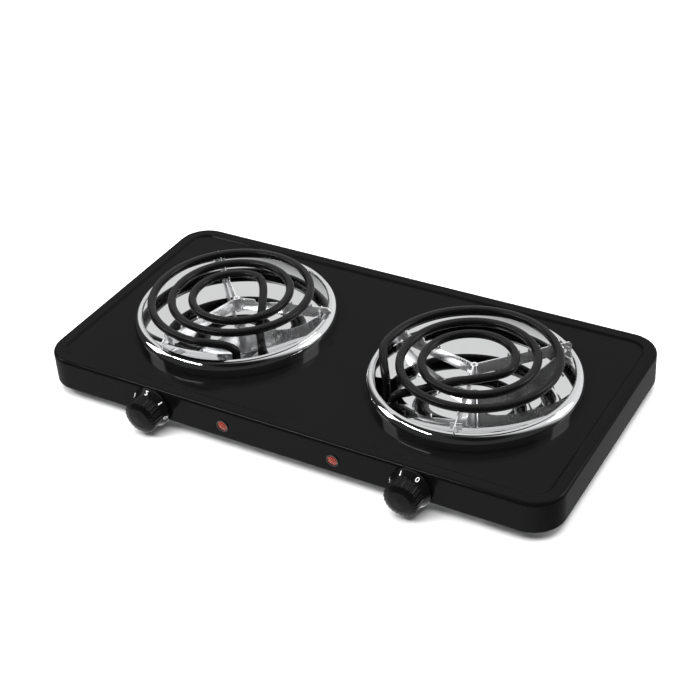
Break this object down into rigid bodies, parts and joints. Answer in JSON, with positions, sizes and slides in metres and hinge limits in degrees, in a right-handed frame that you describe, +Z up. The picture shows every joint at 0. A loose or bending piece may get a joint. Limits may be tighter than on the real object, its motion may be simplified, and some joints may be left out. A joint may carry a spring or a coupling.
{
  "type": "hot plate burner",
  "caption": "Countertop electric hot plate: low black steel housing with spiral coil burners over chrome drip bowls, front heat knobs and red indicator lamps.",
  "frame": {"origin": "middle of the whole outline, at table level under the feet", "axes": "+X to the user's right along the width, +Y from the knobs to the back, +Z up"},
  "size_m": [0.45, 0.2518, 0.0594],
  "materials": {
    "black_enamel": "satin black baked enamel on pressed steel",
    "chrome": "mirror chrome plate",
    "support_steel": "bright plated strip",
    "heater_sheath": "dark oxidised metal sheath, satin",
    "ceramic": "unglazed steatite ceramic",
    "zinc_steel": "zinc-coated steel",
    "screw_steel": "bright zinc screws",
    "brass": "plain brass",
    "black_rubber": "matt black rubber",
    "knob_plastic": "glossy black moulded plastic with white numerals",
    "bezel_plastic": "black moulded plastic",
    "lens_plastic": "clear red prismatic lens",
    "cream_plastic": "moulded insulating plastic",
    "lead_sleeve": "braided glass sleeving over copper"
  },
  "bodies": {
    "base": {"housing": "black_enamel", "base_plate": "zinc_steel", "cord_bushing": "black_rubber", "terminal_strip": "cream_plastic", "earth_screw": "brass", "foot_front_left": "black_rubber", "foot_front_right": "black_rubber", "foot_rear_left": "black_rubber", "foot_rear_right": "black_rubber", "foot_screw_front_left": "screw_steel", "foot_screw_front_right": "screw_steel", "foot_screw_rear_left": "screw_steel", "foot_screw_rear_right": "screw_steel", "base_screw_front_left": "screw_steel", "base_screw_front_right": "screw_steel", "base_screw_rear_left": "screw_steel", "base_screw_rear_right": "screw_steel", "left_trim_ring": "chrome", "left_drip_bowl": "chrome", "left_hinge_bracket": "zinc_steel", "right_trim_ring": "chrome", "right_drip_bowl": "chrome", "right_hinge_bracket": "zinc_steel", "left_thermostat": "ceramic", "left_thermostat_plate": "zinc_steel", "left_plate_screw_a": "screw_steel", "left_plate_screw_b": "screw_steel", "left_lamp_bezel": "bezel_plastic", "left_lamp_lens": "lens_plastic", "left_lamp_body": "cream_plastic", "left_supply_lead": "lead_sleeve", "right_thermostat": "ceramic", "right_thermostat_plate": "zinc_steel", "right_plate_screw_a": "screw_steel", "right_plate_screw_b": "screw_steel", "right_lamp_bezel": "bezel_plastic", "right_lamp_lens": "lens_plastic", "right_lamp_body": "cream_plastic", "right_supply_lead": "lead_sleeve"},
    "left_element": {"left_coil": "heater_sheath", "left_arm_a": "support_steel", "left_arm_b": "support_steel", "left_arm_c": "support_steel", "left_hub": "support_steel", "left_terminal_block": "ceramic", "left_terminal_pins": "zinc_steel", "left_hinge_pin": "zinc_steel"},
    "left_dial": {"left_knob": "knob_plastic", "left_shaft": "zinc_steel"},
    "right_element": {"right_coil": "heater_sheath", "right_arm_a": "support_steel", "right_arm_b": "support_steel", "right_arm_c": "support_steel", "right_hub": "support_steel", "right_terminal_block": "ceramic", "right_terminal_pins": "zinc_steel", "right_hinge_pin": "zinc_steel"},
    "right_dial": {"right_knob": "knob_plastic", "right_shaft": "zinc_steel"}
  },
  "joints": [
    {"name": "left_coil_tilt", "type": "hinge", "parent": "base", "child": "left_element", "pos_m": [-0.05085, -0.05487, 0.0215], "axis": [0.7604, 0.6494, 0], "range_deg": [0, 10]},
    {"name": "left_knob_turn", "type": "hinge", "parent": "base", "child": "left_dial", "pos_m": [-0.115, -0.11515, 0.0187], "axis": [0, 1, 0], "range_deg": [-75, 175]},
    {"name": "right_coil_tilt", "type": "hinge", "parent": "base", "child": "right_element", "pos_m": [0.04622, -0.0506, 0.0215], "axis": [0.6756, -0.7373, 0], "range_deg": [0, 10]},
    {"name": "right_knob_turn", "type": "hinge", "parent": "base", "child": "right_dial", "pos_m": [0.115, -0.11515, 0.0187], "axis": [0, 1, 0], "range_deg": [0, 250]}
  ]
}
